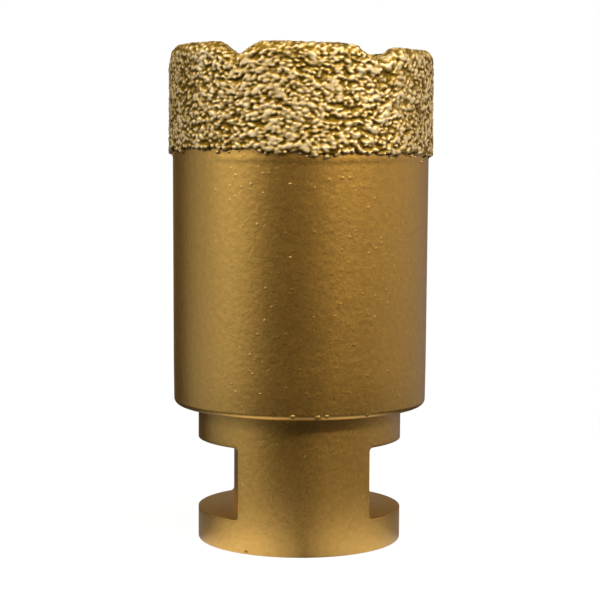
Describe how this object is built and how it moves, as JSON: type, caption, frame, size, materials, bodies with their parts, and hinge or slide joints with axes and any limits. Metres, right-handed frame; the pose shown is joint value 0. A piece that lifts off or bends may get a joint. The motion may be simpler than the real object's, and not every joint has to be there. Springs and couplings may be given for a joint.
{
  "type": "diamond core bit",
  "caption": "Brazed-diamond core bit: a round steel barrel with a notched grit crown, closed by a shank with wrench flats and a threaded bore for an angle grinder spindle.",
  "frame": {"origin": "centre of the shank's seat face, on the spindle axis, where the bit bears on the spindle's flange", "axes": "+Z along the spindle axis towards the cutting rim; the wrench flats face +X and -X; one waterway lies over +X"},
  "size_m": [0.035, 0.035, 0.0658],
  "materials": {
    "gold_body": "satin gold coat on fine-blasted steel",
    "gold_shank": "satin gold coat on turned and milled steel",
    "gold_grit": "glossy gold-coated braze over diamond grit"
  },
  "bodies": {
    "root": {"barrel": "gold_body", "threaded_shank": "gold_shank", "diamond_crown": "gold_grit"}
  },
  "joints": []
}
